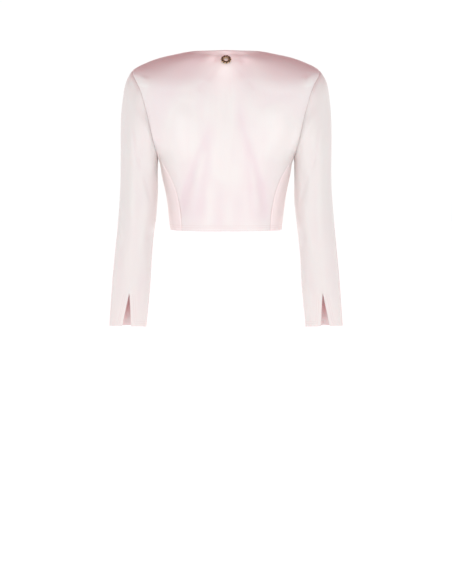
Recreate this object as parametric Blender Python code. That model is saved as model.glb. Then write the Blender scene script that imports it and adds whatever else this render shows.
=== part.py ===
"""A cropped satin bolero jacket, filled out as if worn, with set-in sleeves and open fronts.

Metres, +Z up. The garment's front faces -Y and the wearer's left is +X. The origin is midway
between the shoulders at the height of the neck edge, where the wearer's shoulders carry it.

The body panels all lie on one torso surface, made of closed rings round the body. A place on it
is given by an angle round the ring (0 at the centre back, 90 at the side, 180 at the centre
front) and by the ring's height at the centre back. Seams are curves on that surface, and each
panel fills the space between its seams. A sleeve is lofted from the armhole down to the cuff.
"""
import math

import bmesh
import bpy
import numpy as np

CLOTH_WALL = 0.0016
SEAM_GAP = 0.0003
TINY_STEP = 0.0005

# Rings round the body, from the neck edge to the hem. Depths are measured from the origin.
TORSO_COLUMNS = ("back_z", "half_width", "back_depth", "front_depth", "side_z", "front_z", "squareness")
TORSO_RINGS = (
    (-0.0012, 0.0930, 0.0480, 0.0500, -0.0030, -0.0465, 2.20),
    (-0.020, 0.1250, 0.0635, 0.0580, -0.0095, -0.062, 2.25),
    (-0.045, 0.1580, 0.0750, 0.0670, -0.0175, -0.083, 2.35),
    (-0.070, 0.1900, 0.0825, 0.0750, -0.0295, -0.103, 2.45),
    (-0.092, 0.2165, 0.0868, 0.0820, -0.0450, -0.120, 2.50),
    (-0.115, 0.2270, 0.0900, 0.0900, -0.0680, -0.138, 2.55),
    (-0.145, 0.2230, 0.0930, 0.1010, -0.1020, -0.160, 2.60),
    (-0.180, 0.2060, 0.0955, 0.1130, -0.1500, -0.186, 2.60),
    (-0.215, 0.1860, 0.0962, 0.1240, -0.2000, -0.216, 2.50),
    (-0.250, 0.1590, 0.0952, 0.1310, -0.2460, -0.250, 2.40),
    (-0.280, 0.1515, 0.0930, 0.1310, -0.2790, -0.280, 2.35),
    (-0.326, 0.1420, 0.0885, 0.1210, -0.3250, -0.325, 2.30),
    (-0.373, 0.1350, 0.0845, 0.1080, -0.3735, -0.373, 2.30),
    (-0.4135, 0.1308, 0.0822, 0.1004, -0.4145, -0.4135, 2.30),
)
NECK_Z = -0.0012
HEM_Z = -0.4135

# The armhole runs down the back and the front from the shoulder tip to the underarm. Its
# openings are degrees round the ring from the side; share runs from 0, the tip, to 1.
SHOULDER_TIP_Z = -0.092
UNDERARM_Z = -0.250
ARMHOLE_COLUMNS = ("share", "back_opening", "front_opening")
ARMHOLE = (
    (0.00, 0.0, 0.0),
    (0.10, 16.5, 15.0),
    (0.20, 30.0, 27.5),
    (0.35, 38.0, 36.0),
    (0.50, 37.5, 35.0),
    (0.65, 33.0, 31.0),
    (0.80, 22.5, 21.5),
    (0.90, 12.0, 12.0),
    (1.00, 0.0, 0.0),
)
PANEL_SEAM_SHARE = 0.80

# The curved panel seams below the armhole, and the open front edge.
BACK_SEAM_COLUMNS = ("back_z", "x")
BACK_SEAM = (
    (-0.262, 0.1445),
    (-0.288, 0.1290),
    (-0.320, 0.1160),
    (-0.365, 0.1060),
    (-0.4135, 0.1022),
)
FRONT_SEAM = (
    (-0.262, 0.1400),
    (-0.290, 0.1175),
    (-0.322, 0.1000),
    (-0.360, 0.0865),
    (-0.4135, 0.0817),
)
FRONT_EDGE = (
    (-0.035, 0.0905),
    (-0.070, 0.0840),
    (-0.105, 0.0735),
    (-0.145, 0.0590),
    (-0.190, 0.0445),
    (-0.240, 0.0340),
    (-0.300, 0.0290),
    (-0.360, 0.0290),
    (-0.3855, 0.0315),
    (-0.4025, 0.0400),
    (-0.4135, 0.0560),
)

# Sleeve sections, from the armhole to the cuff. The outer and inner points are the sleeve's
# outline seen from behind, half_depth is its reach to the front and back of centre_y.
SLEEVE_COLUMNS = ("outer_x", "outer_z", "inner_x", "inner_z", "half_depth", "centre_y")
SLEEVE_SECTIONS = (
    (0.2165, -0.045, 0.1575, -0.2475, 0.0600, -0.004),
    (0.2282, -0.062, 0.1578, -0.2570, 0.0620, -0.003),
    (0.2376, -0.096, 0.1582, -0.2740, 0.0635, -0.001),
    (0.2440, -0.150, 0.1587, -0.3010, 0.0630, 0.002),
    (0.2455, -0.225, 0.1595, -0.3400, 0.0610, 0.006),
    (0.2460, -0.305, 0.1625, -0.3780, 0.0580, 0.010),
    (0.2515, -0.386, 0.1680, -0.4210, 0.0545, 0.010),
    (0.2605, -0.467, 0.1740, -0.4800, 0.0490, 0.002),
    (0.2694, -0.547, 0.1790, -0.5500, 0.0430, -0.012),
    (0.2780, -0.6425, 0.1890, -0.6440, 0.0390, -0.032),
)
SLEEVE_SQUARENESS = 2.15
CAP_SHARE = 0.42

# The open vent at the back of each cuff.
VENT_LENGTH = 0.098
VENT_WIDTH = 0.021
VENT_ANGLE = 1.0
# The front of the cuff hangs a little lower than its back.
CUFF_DROP = 0.0070
CUFF_DROP_FROM = -0.420
CUFF_DROP_OVER = 0.2225

# Soft troughs (negative) and ridges in the cloth of the back, mirrored on both sides.
FOLD_COLUMNS = ("start_x", "start_z", "end_x", "end_z", "width", "height")
BACK_FOLDS = (
    (0.030, -0.150, 0.076, -0.276, 0.018, -0.0028),
    (0.074, -0.266, 0.094, -0.365, 0.018, -0.0026),
    (0.122, -0.145, 0.110, -0.240, 0.032, 0.0028),
    (0.040, -0.250, 0.052, -0.330, 0.018, 0.0018),
    (0.046, -0.320, 0.060, -0.400, 0.015, -0.0016),
)
SLEEVE_FOLD_COLUMNS = ("angle", "outer_z", "turn", "half_angle", "half_height", "height")
SLEEVE_FOLDS = (
    (20.0, -0.175, 26.0, 50.0, 0.016, -0.0022),
    (-35.0, -0.250, -18.0, 40.0, 0.016, -0.0020),
    (-80.0, -0.335, 10.0, 60.0, 0.013, -0.0026),
    (-70.0, -0.385, -14.0, 55.0, 0.014, -0.0024),
    (200.0, -0.360, 12.0, 60.0, 0.015, -0.0026),
    (160.0, -0.420, -16.0, 50.0, 0.015, -0.0020),
)

# The twisted metal ring sewn on at the centre back.
RING_Z = -0.0238
RING_RADIUS = 0.0085
RING_OVAL = 0.88
RING_WIRE = 0.0038
RING_FLATNESS = 0.68
RING_BULGE = 0.0003
RING_STRANDS = 3
RING_TURNS = 5
RING_LOBE = 0.14

# How finely each panel is divided.
SEAM_ROWS = 8
ARMHOLE_ROWS = 9
NECK_COLUMNS = 6
SHOULDER_COLUMNS = 9
SIDE_COLUMNS = 8
SLEEVE_ROWS = 26
VENT_ROWS = 6
RING_STEPS = 56
RING_SIDES = 12

SATIN_COLOUR = (0.87, 0.74, 0.74, 1.0)
METAL_COLOUR = (0.55, 0.36, 0.20, 1.0)


def spline_through(knots, values):
    """Returns a function giving the natural cubic spline through rows of values at the knots."""
    order = np.argsort(knots)
    knots = np.asarray(knots, float)[order]
    values = np.asarray(values, float).reshape(len(knots), -1)[order]
    gaps = np.diff(knots)[:, None]
    slopes = np.diff(values, axis=0) / gaps
    system = np.eye(len(knots))
    right = np.zeros_like(values)
    for i in range(1, len(knots) - 1):
        system[i, i - 1:i + 2] = gaps[i - 1, 0], 2 * (gaps[i - 1, 0] + gaps[i, 0]), gaps[i, 0]
        right[i] = 6 * (slopes[i] - slopes[i - 1])
    bends = np.linalg.solve(system, right)

    def at(x):
        x = np.asarray(x, float)
        i = np.clip(np.searchsorted(knots, x) - 1, 0, len(knots) - 2)
        gap = gaps[i]
        past = (x - knots[i])[..., None]
        left = gap - past
        curve = (bends[i] * left**3 + bends[i + 1] * past**3) / (6 * gap)
        curve += (values[i] / gap - bends[i] * gap / 6) * left
        curve += (values[i + 1] / gap - bends[i + 1] * gap / 6) * past
        return curve

    return at


def columns_of(table):
    """The table's first column, and the rest of its columns side by side."""
    rows = np.array(table, float)
    return rows[:, 0], rows[:, 1:]


torso_at = spline_through(*columns_of(TORSO_RINGS))
armhole_at = spline_through(*columns_of(ARMHOLE))


def unit(vectors):
    return vectors / np.maximum(np.linalg.norm(vectors, axis=-1, keepdims=True), 1e-12)


def smooth_step(x):
    x = np.clip(x, 0.0, 1.0)
    return x * x * (3 - 2 * x)


def bare_torso(angle, ring_z):
    """Points of the torso surface with no folds. The angle is in radians."""
    half_width, back_depth, front_depth, side_z, front_z, square = np.moveaxis(torso_at(ring_z), -1, 0)
    sine, cosine = np.sin(angle), np.cos(angle)
    reach = (np.abs(sine) ** square + np.abs(cosine) ** square) ** (-1 / square)
    at_back = cosine >= 0
    depth = np.where(at_back, back_depth, front_depth)
    centre_z = np.where(at_back, ring_z, front_z)
    return np.stack(
        [half_width * sine * reach, depth * cosine * reach, side_z + (centre_z - side_z) * cosine**2],
        axis=-1,
    )


def normals_of(surface, angle, ring_z):
    """Outward unit normals of a surface given as a function of angle and ring height."""
    along_angle = surface(angle + TINY_STEP, ring_z) - surface(angle - TINY_STEP, ring_z)
    along_z = surface(angle, ring_z + TINY_STEP) - surface(angle, ring_z - TINY_STEP)
    return unit(np.cross(along_z, along_angle))


def ramp_along(points, start, end, width):
    """1 on the line from start to end, falling softly to 0 beyond the width and at both ends."""
    line = end - start
    along = (points - start) @ line / (line @ line)
    beside = points - start - np.clip(along, 0, 1)[..., None] * line
    across = np.sum(beside**2, axis=-1) / width**2
    taper = smooth_step(1.5 - np.abs(2 * along - 1) * 1.1)
    return np.exp(-across) * taper


def fold_height(points):
    """How far the folds of the back lift the cloth at each point."""
    flat = np.stack([np.abs(points[..., 0]), points[..., 2]], axis=-1)
    height = np.zeros(points.shape[:-1])
    for start_x, start_z, end_x, end_z, width, lift in BACK_FOLDS:
        line = np.array((start_x, start_z)), np.array((end_x, end_z))
        height += lift * ramp_along(flat, *line, width)
    return height * smooth_step(points[..., 1] / 0.03)


def torso(angle, ring_z):
    points = bare_torso(angle, ring_z)
    return points + normals_of(bare_torso, angle, ring_z) * fold_height(points)[..., None]


def armhole_ring(share):
    """The ring that the armhole has reached at this share of the way from tip to underarm."""
    return SHOULDER_TIP_Z + (UNDERARM_Z - SHOULDER_TIP_Z) * (1 - np.cos(np.pi * share)) / 2


def armhole_path(shares, front):
    """(angle, ring height) along the armhole's back or front half."""
    opening = np.radians(armhole_at(shares)[..., 1 if front else 0])
    return np.stack([np.pi / 2 + (opening if front else -opening), armhole_ring(shares)], axis=-1)


def angle_at(x, ring_z, front):
    """The angle at which a ring of the torso has this x."""
    ring = torso_at(ring_z)
    square = ring[..., 5]
    share = np.clip(x / ring[..., 0], 0, 0.99999)
    angle = np.arctan(share / (1 - share**square) ** (1 / square))
    return np.pi - angle if front else angle


def seam_path(table, top_x, top_z, rows, front):
    """(angle, ring height) down a seam, from the hem up to its top point."""
    heights, x = columns_of(((top_z, top_x),) + table)
    ring_z = np.linspace(HEM_Z, top_z, rows + 1)
    return np.stack([angle_at(spline_through(heights, x)(ring_z)[..., 0], ring_z, front), ring_z], axis=-1)


def panel_seam(front):
    """The curved seam from the hem up to the armhole, at the back or the front."""
    top = armhole_path(np.array([PANEL_SEAM_SHARE]), front)[0]
    top_x = bare_torso(top[0], top[1])[0]
    return seam_path(FRONT_SEAM if front else BACK_SEAM, top_x, top[1], SEAM_ROWS, front)


def joined(*paths):
    """One path from several that share their end points."""
    return np.concatenate([paths[0]] + [path[1:] for path in paths[1:]])


def spread(start, end, count):
    """Evenly spaced places from start to end, both (angle, ring height)."""
    return np.linspace(start, end, count)


def spaced(path, count, crowding):
    """The same path with count points, evenly spaced, or closer at its start if crowding is over 1."""
    points = bare_torso(path[:, 0], path[:, 1])
    lengths = np.r_[0, np.cumsum(np.linalg.norm(np.diff(points, axis=0), axis=1))]
    wanted = lengths[-1] * np.linspace(0, 1, count) ** crowding
    return np.stack([np.interp(wanted, lengths, path[:, i]) for i in (0, 1)], axis=-1)


def ring_reach(ring_z):
    """Roughly how far one radian goes round a ring, so that a panel can be laid out flat."""
    ring = torso_at(ring_z)
    return ring[..., 0] * 0.62 + ring[..., 1] * 0.25


def filled(bottom, top, left, right, middle):
    """A grid of places between four edge paths: rows run from bottom to top, columns left to right."""
    flat = []
    for path in (bottom, top, left, right):
        flat.append(np.stack([(path[:, 0] - middle) * ring_reach(path[:, 1]), path[:, 1]], axis=-1))
    bottom, top, left, right = flat
    rows = np.linspace(0, 1, len(left))[:, None, None]
    columns = np.linspace(0, 1, len(bottom))[None, :, None]
    grid = (1 - rows) * bottom + rows * top + (1 - columns) * left[:, None] + columns * right[:, None]
    grid -= (1 - rows) * ((1 - columns) * bottom[0] + columns * bottom[-1])
    grid -= rows * ((1 - columns) * top[0] + columns * top[-1])
    return np.stack([middle + grid[..., 0] / ring_reach(grid[..., 1]), grid[..., 1]], axis=-1)


def shoulder_seam():
    """The shoulder seam, from the neck edge out to the tip."""
    return spread((np.pi / 2, NECK_Z), (np.pi / 2, SHOULDER_TIP_Z), SHOULDER_COLUMNS + 1)


def back_places():
    """One half of the back, from the centre back out to its seams."""
    arm_shares = np.linspace(PANEL_SEAM_SHARE, 0, ARMHOLE_ROWS + 1)
    outer = joined(panel_seam(False), armhole_path(arm_shares, False))
    centre = spread((0.0, HEM_Z), (0.0, NECK_Z), len(outer))
    neck = spread((0.0, NECK_Z), (np.pi / 2, NECK_Z), NECK_COLUMNS + 1)
    top = joined(neck, shoulder_seam())
    hem = spread(centre[0], outer[0], len(top))
    return filled(hem, top, centre, outer, 0.0)


def side_places():
    """The side panel, from the back seam round to the front seam, under the armhole."""
    back, front = panel_seam(False), panel_seam(True)
    top = lower_armhole()
    hem = spread(back[0], front[0], len(top))
    return filled(hem, top, back, front, np.pi / 2)


def lower_armhole():
    """The part of the armhole that the side panel runs up to, from the back to the front."""
    shares = 1 - (1 - PANEL_SEAM_SHARE) * np.abs(np.linspace(-1, 1, SIDE_COLUMNS + 1))
    middle = SIDE_COLUMNS // 2
    return joined(armhole_path(shares[: middle + 1], False), armhole_path(shares[middle:], True))


def front_places():
    """One front, from its outer seams to the open edge. Its top row is the shoulder seam."""
    arm_shares = np.linspace(PANEL_SEAM_SHARE, 0, ARMHOLE_ROWS + 1)
    outer = joined(panel_seam(True), armhole_path(arm_shares, True))
    edge = seam_path(FRONT_EDGE, TORSO_RINGS[0][1], NECK_Z, 8 * len(outer), True)
    edge = spaced(edge, len(outer), 1.3)
    hem = spread(outer[0], edge[0], SHOULDER_COLUMNS + 1)
    return filled(hem, shoulder_seam()[::-1], outer, edge, np.pi)


def drawn_in(points, normals, gap):
    """A grid with its four edges moved square into it by the gap."""
    moves = np.zeros_like(points)
    for axis in (0, 1):
        along = unit(np.gradient(points, axis=axis))
        across = unit(np.cross(normals, along)) * gap
        inwards = np.gradient(points, axis=1 - axis)
        across = across * np.sign(np.sum(across * inwards, axis=-1, keepdims=True))
        if axis == 0:
            moves[:, 0] += across[:, 0]
            moves[:, -1] -= across[:, -1]
        else:
            moves[0] += across[0]
            moves[-1] -= across[-1]
    return points + moves


def grid_faces(rows, columns, first):
    """Quads over a grid of points whose numbers start at first."""
    row, column = np.mgrid[0:rows - 1, 0:columns - 1]
    corner = (first + row * columns + column).ravel()
    return np.stack([corner, corner + 1, corner + columns + 1, corner + columns], axis=-1)


def wall_mesh(name, outside, inside):
    """A closed wall between two grids of points with the same shape."""
    rows, columns = outside.shape[:2]
    count = rows * columns
    numbers = np.arange(count).reshape(rows, columns)
    rim = np.concatenate([numbers[0, :-1], numbers[:-1, -1], numbers[-1, :0:-1], numbers[:0:-1, 0]])
    rim_next = np.roll(rim, -1)
    faces = np.concatenate(
        [
            grid_faces(rows, columns, 0)[:, ::-1],
            grid_faces(rows, columns, count),
            np.stack([rim, rim_next, rim_next + count, rim + count], axis=-1),
        ]
    )
    points = np.concatenate([outside.reshape(-1, 3), inside.reshape(-1, 3)])
    return mesh_from(name, points, faces)


def mesh_from(name, points, faces):
    mesh = bpy.data.meshes.new(name)
    mesh.from_pydata(points.tolist(), [], [list(face) for face in faces.tolist()])
    mesh.validate()
    return mesh


def add_node(name, mesh, material):
    node = bpy.data.objects.new(name, mesh)
    mesh.materials.append(material)
    mesh.shade_smooth()
    mesh.set_sharp_from_angle(angle=math.radians(40))
    bpy.context.scene.collection.objects.link(node)
    return node


def mirrored(points):
    """The same grid on the other side of the body, with its columns in reverse order."""
    return (points * (-1, 1, 1))[:, ::-1]


def cloth_panel(name, places, material, sides):
    """A wall over a grid of places, on the right (+X), the left, or both sides joined."""
    angle, ring_z = places[..., 0], places[..., 1]
    outside = torso(angle, ring_z)
    normals = normals_of(torso, angle, ring_z)
    outside, inward = drawn_in(outside, normals, SEAM_GAP / 2), -normals * CLOTH_WALL
    if sides == "both":
        outside = np.concatenate([mirrored(outside), outside[:, 1:]], axis=1)
        inward = np.concatenate([mirrored(inward), inward[:, 1:]], axis=1)
    elif sides == "right":
        outside, inward = mirrored(outside), mirrored(inward)
    return add_node(name, wall_mesh(name, outside, outside + inward), material)


def sleeve_sections_at(shares):
    """The sleeve's section sizes at shares of its length, 0 at the armhole and 1 at the cuff."""
    rows = np.array(SLEEVE_SECTIONS)
    centres = np.stack([rows[:, 0] + rows[:, 2], rows[:, 1] + rows[:, 3]], axis=-1) / 2
    lengths = np.r_[0, np.cumsum(np.linalg.norm(np.diff(centres, axis=0), axis=1))]
    return np.moveaxis(spline_through(lengths / lengths[-1], rows)(shares), -1, 0)


def section_points(angle, sizes):
    """Points round sleeve sections: angle 0 is the back, 90 the outside, -90 the inside."""
    outer_x, outer_z, inner_x, inner_z, half_depth, centre_y = sizes
    sine, cosine = np.sin(angle), np.cos(angle)
    reach = (np.abs(sine) ** SLEEVE_SQUARENESS + np.abs(cosine) ** SLEEVE_SQUARENESS) ** (
        -1 / SLEEVE_SQUARENESS
    )
    out, back = sine * reach, cosine * reach
    drop = CUFF_DROP * smooth_step((CUFF_DROP_FROM - outer_z) / CUFF_DROP_OVER) * (1 - back) / 2
    return np.stack(
        [
            (outer_x + inner_x) / 2 + (outer_x - inner_x) / 2 * out,
            centre_y + half_depth * back,
            (outer_z + inner_z) / 2 + (outer_z - inner_z) / 2 * out - drop,
        ],
        axis=-1,
    )


def armhole_points(angle):
    """Points and torso normals round the armhole, by the sleeve's angle."""
    turned = (np.degrees(angle) + 90) % 360 - 90
    front = turned > 90
    share = np.where(front, (turned - 90) / 180, (90 - turned) / 180)
    path = np.where(front[..., None], armhole_path(share, True), armhole_path(share, False))
    return torso(path[..., 0], path[..., 1]), normals_of(torso, path[..., 0], path[..., 1])


def sleeve_fold_height(angle, share):
    """How far the sleeve's folds lift the cloth."""
    outer_z = sleeve_sections_at(share)[1]
    height = np.zeros(angle.shape)
    for middle, middle_z, turn, half_angle, half_height, lift in SLEEVE_FOLDS:
        round_by = (np.degrees(angle) - middle + 180) % 360 - 180
        rise = outer_z - middle_z - math.tan(math.radians(turn)) * np.radians(round_by) * 0.05
        height += lift * np.exp(-(rise / half_height) ** 2 - (round_by / half_angle) ** 2)
    return height * smooth_step(share / 0.12)


def sleeve_surface(angle, share):
    """Points of the right sleeve's outside, before the folds."""
    points = section_points(angle, sleeve_sections_at(share))
    top = section_points(angle, sleeve_sections_at(np.zeros_like(share)))
    misfit = armhole_points(angle)[0] - top
    return points + misfit * ((1 - np.clip(share / CAP_SHARE, 0, 1)) ** 2.5)[..., None]


def sleeve_normals(angle, share):
    """Outward unit normals of the sleeve. The armhole's own row leans on the row below it."""
    step = 0.004
    share = np.clip(share, step, 1 - step)
    round_it = sleeve_surface(angle + 0.01, share) - sleeve_surface(angle - 0.01, share)
    down_it = sleeve_surface(angle, share + step) - sleeve_surface(angle, share - step)
    return unit(np.cross(round_it, down_it))


def armhole_angles():
    """The sleeve angles of the armhole's points, once round from the back's middle point."""
    upper = np.linspace(0, PANEL_SEAM_SHARE, ARMHOLE_ROWS + 1)
    lower = np.linspace(PANEL_SEAM_SHARE, 1, SIDE_COLUMNS // 2 + 1)[1:]
    half = np.r_[upper, lower]
    first = int(np.argmin(np.abs(half - 0.5)))
    back_up = 90 - 180 * half[first::-1]
    front_down = 90 + 180 * half[1:]
    back_from_below = 450 - 180 * half[-2:first - 1:-1]
    return np.radians(np.r_[back_up, front_down, back_from_below])


def sleeve_angles(share):
    """The angles of one row of the sleeve, from one side of the vent round to the other."""
    at_top = armhole_angles()
    open_share = np.clip((share - 1) * sleeve_length() / VENT_LENGTH + 1, 0, 1)
    half_open = open_share * VENT_WIDTH / (SLEEVE_SECTIONS[-1][0] - SLEEVE_SECTIONS[-1][2])
    middle = math.radians(VENT_ANGLE)
    even = np.linspace(middle + half_open, middle + 2 * np.pi - half_open, len(at_top))
    return at_top + (even - at_top) * smooth_step(share / CAP_SHARE)


def sleeve_length():
    return np.linalg.norm(np.subtract(SLEEVE_SECTIONS[0][:2], SLEEVE_SECTIONS[-1][:2]))


def sleeve_grid():
    """(angle, share) at each point of the sleeve, with rows from the armhole to the cuff."""
    vent_top = 1 - VENT_LENGTH / sleeve_length()
    above = np.linspace(0, 1, SLEEVE_ROWS - VENT_ROWS + 1) ** 1.35 * vent_top
    shares = np.r_[above, np.linspace(vent_top, 1, VENT_ROWS + 1)[1:]]
    angles = np.array([sleeve_angles(share) for share in shares])
    return angles, np.broadcast_to(shares[:, None], angles.shape).copy()


def sleeve_mesh(name, flip):
    """A sleeve as one tube of cloth, open at both ends and along its vent."""
    angle, share = sleeve_grid()
    normals = sleeve_normals(angle, share)
    outside = sleeve_surface(angle, share) + normals * sleeve_fold_height(angle, share)[..., None]
    arm, arm_normals = armhole_points(angle[0])
    facing = smooth_step((np.sum(arm_normals * normals[0], axis=-1) + 0.3) / 0.7)[:, None]
    away = unit(outside[1] - outside[0])
    outside[0] = arm + SEAM_GAP * (facing * away + (1 - facing) * arm_normals)
    inward = -normals
    inward[0] = -unit(facing * arm_normals + (1 - facing) * normals[0])
    inside = outside + inward * CLOTH_WALL
    if flip:
        outside, inside = mirrored(outside), mirrored(inside)
    return tube_mesh(name, outside, inside)


def tube_mesh(name, outside, inside):
    """A closed wall whose first and last columns are one, down to where the vent opens."""
    rows, columns = outside.shape[:2]
    numbers = np.arange(rows * columns).reshape(rows, columns)
    shut = np.linalg.norm(outside[:, 0] - outside[:, -1], axis=-1) < 1e-6
    numbers[shut, -1] = numbers[shut, 0]
    count = rows * columns
    skin = np.stack(
        [numbers[:-1, :-1], numbers[:-1, 1:], numbers[1:, 1:], numbers[1:, :-1]], axis=-1
    ).reshape(-1, 4)
    lowest_shut = int(np.flatnonzero(shut)[-1])
    top = numbers[0, :]
    vent_left = numbers[lowest_shut:, 0]
    vent_right = numbers[lowest_shut:, -1]
    round_bottom = np.concatenate([vent_left, numbers[-1, 1:], vent_right[-2::-1]])
    faces = [skin, skin[:, ::-1] + count]
    for line in (top[::-1], round_bottom):
        faces.append(np.stack([line[:-1], line[1:], line[1:] + count, line[:-1] + count], axis=-1))
    points = np.concatenate([outside.reshape(-1, 3), inside.reshape(-1, 3)])
    return cleaned(mesh_from(name, points, np.concatenate(faces)))


def cleaned(mesh):
    """Drops the unused points of a tube's welded column."""
    shape = bmesh.new()
    shape.from_mesh(mesh)
    bmesh.ops.delete(shape, geom=[v for v in shape.verts if not v.link_faces], context="VERTS")
    bmesh.ops.recalc_face_normals(shape, faces=shape.faces)
    shape.to_mesh(mesh)
    shape.free()
    return mesh


def ring_mesh(name):
    """A ring of three twisted strands, lying flat on the cloth of the centre back."""
    angle, side = np.meshgrid(
        np.linspace(0, 2 * np.pi, RING_STEPS, endpoint=False),
        np.linspace(0, 2 * np.pi, RING_SIDES, endpoint=False),
        indexing="ij",
    )
    radius = RING_WIRE * (1 + RING_LOBE * np.cos(RING_STRANDS * side + RING_TURNS * RING_STRANDS * angle))
    across = RING_RADIUS + radius * np.cos(side)
    height = radius * np.sin(side) * RING_FLATNESS
    points = np.stack([across * np.cos(angle), across * np.sin(angle) * RING_OVAL, height], axis=-1)
    numbers = np.arange(RING_STEPS * RING_SIDES).reshape(RING_STEPS, RING_SIDES)
    next_step, next_side = np.roll(numbers, -1, axis=0), np.roll(numbers, -1, axis=1)
    faces = np.stack([numbers, next_step, np.roll(next_step, -1, axis=1), next_side], axis=-1)
    return mesh_from(name, points.reshape(-1, 3), faces.reshape(-1, 4))


def seat_ring(node):
    """Lays the ring on the cloth, just clear of it, facing outwards."""
    place = np.array(0.0), np.array(RING_Z)
    outward = normals_of(torso, *place)
    lowest = RING_WIRE * (1 + RING_LOBE) * RING_FLATNESS + SEAM_GAP
    node.location = torso(*place) + outward * (lowest + RING_BULGE)
    node.rotation_euler = (math.atan2(math.hypot(outward[0], outward[1]), outward[2]) * -1, 0, 0)


def material(name, colour, roughness, metallic):
    made = bpy.data.materials.new(name)
    made.use_nodes = True
    shader = made.node_tree.nodes["Principled BSDF"]
    shader.inputs["Base Color"].default_value = colour
    shader.inputs["Roughness"].default_value = roughness
    shader.inputs["Metallic"].default_value = metallic
    return made


def main():
    for old in list(bpy.data.objects):
        bpy.data.objects.remove(old)
    satin = material("satin", SATIN_COLOUR, 0.38, 0.0)
    metal = material("antique_gold", METAL_COLOUR, 0.30, 1.0)
    cloth_panel("back", back_places(), satin, "both")
    for side in ("left", "right"):
        cloth_panel(f"side_{side}", side_places(), satin, side)
        cloth_panel(f"front_{side}", front_places(), satin, side)
        add_node(f"sleeve_{side}", sleeve_mesh(f"sleeve_{side}", side == "right"), satin)
    seat_ring(add_node("neck_ring", ring_mesh("neck_ring"), metal))


main()
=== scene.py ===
"""The looks of the satin bolero jacket: fine cloth shells over its solids, its ring, light and camera.

Metres, +Z up. The jacket's front faces -Y and the wearer's left is +X, so the photograph is taken
from +Y. The shells follow the same torso rings and sleeve sections as the solids. They add the
seams, hems and soft creases of the satin.
"""

import math

import bpy
import numpy as np
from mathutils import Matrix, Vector


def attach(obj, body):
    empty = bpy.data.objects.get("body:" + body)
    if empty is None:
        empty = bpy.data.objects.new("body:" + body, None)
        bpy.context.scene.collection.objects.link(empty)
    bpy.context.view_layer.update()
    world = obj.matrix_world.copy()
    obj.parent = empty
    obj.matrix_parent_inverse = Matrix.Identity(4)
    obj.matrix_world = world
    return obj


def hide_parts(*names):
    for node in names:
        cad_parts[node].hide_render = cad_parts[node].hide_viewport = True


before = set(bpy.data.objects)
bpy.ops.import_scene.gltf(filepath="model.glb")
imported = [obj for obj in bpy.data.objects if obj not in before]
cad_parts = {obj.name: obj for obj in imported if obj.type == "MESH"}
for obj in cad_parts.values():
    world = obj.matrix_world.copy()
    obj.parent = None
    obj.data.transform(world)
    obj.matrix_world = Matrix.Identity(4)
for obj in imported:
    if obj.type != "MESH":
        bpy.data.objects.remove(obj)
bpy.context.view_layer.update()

# The same sizes as the solids. Each torso ring has its height at the back, half width, depth at the
# back, depth at the front, height at the side, height at the front and squareness.
CLOTH_WALL = 0.0016
TINY_STEP = 0.0005
TORSO_RINGS = (
    (-0.0012, 0.093, 0.048, 0.05, -0.003, -0.0465, 2.2),
    (-0.02, 0.125, 0.0635, 0.058, -0.0095, -0.062, 2.25),
    (-0.045, 0.158, 0.075, 0.067, -0.0175, -0.083, 2.35),
    (-0.07, 0.19, 0.0825, 0.075, -0.0295, -0.103, 2.45),
    (-0.092, 0.2165, 0.0868, 0.082, -0.045, -0.12, 2.5),
    (-0.115, 0.227, 0.09, 0.09, -0.068, -0.138, 2.55),
    (-0.145, 0.223, 0.093, 0.101, -0.102, -0.16, 2.6),
    (-0.18, 0.206, 0.0955, 0.113, -0.15, -0.186, 2.6),
    (-0.215, 0.186, 0.0962, 0.124, -0.2, -0.216, 2.5),
    (-0.25, 0.159, 0.0952, 0.131, -0.246, -0.25, 2.4),
    (-0.28, 0.1515, 0.093, 0.131, -0.279, -0.28, 2.35),
    (-0.326, 0.142, 0.0885, 0.121, -0.325, -0.325, 2.3),
    (-0.373, 0.135, 0.0845, 0.108, -0.3735, -0.373, 2.3),
    (-0.4135, 0.1308, 0.0822, 0.1004, -0.4145, -0.4135, 2.3),
)
NECK_Z = -0.0012
HEM_Z = -0.4135
SHOULDER_TIP_Z = -0.092
UNDERARM_Z = -0.250
# The armhole: share of the way down, and how far it opens at the back and the front in degrees.
ARMHOLE = (
    (0.00, 0.0, 0.0), (0.1, 16.5, 15.0), (0.2, 30.0, 27.5), (0.35, 38.0, 36.0), (0.5, 37.5, 35.0),
    (0.65, 33.0, 31.0), (0.8, 22.5, 21.5), (0.9, 12.0, 12.0), (1.00, 0.0, 0.0),
)
PANEL_SEAM_SHARE = 0.80
# Seams and open edges, as (height at the back, x).
BACK_SEAM = (
    (-0.262, 0.1445), (-0.288, 0.129), (-0.32, 0.116), (-0.365, 0.106), (-0.4135, 0.1022),
)
FRONT_SEAM = (
    (-0.262, 0.14), (-0.29, 0.1175), (-0.322, 0.1), (-0.36, 0.0865), (-0.4135, 0.0817),
)
FRONT_EDGE = (
    (-0.035, 0.0905), (-0.07, 0.084), (-0.105, 0.0735), (-0.145, 0.059), (-0.19, 0.0445),
    (-0.24, 0.034), (-0.3, 0.029), (-0.36, 0.029), (-0.3855, 0.0315), (-0.4025, 0.04), (-0.4135, 0.056),
)
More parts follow.
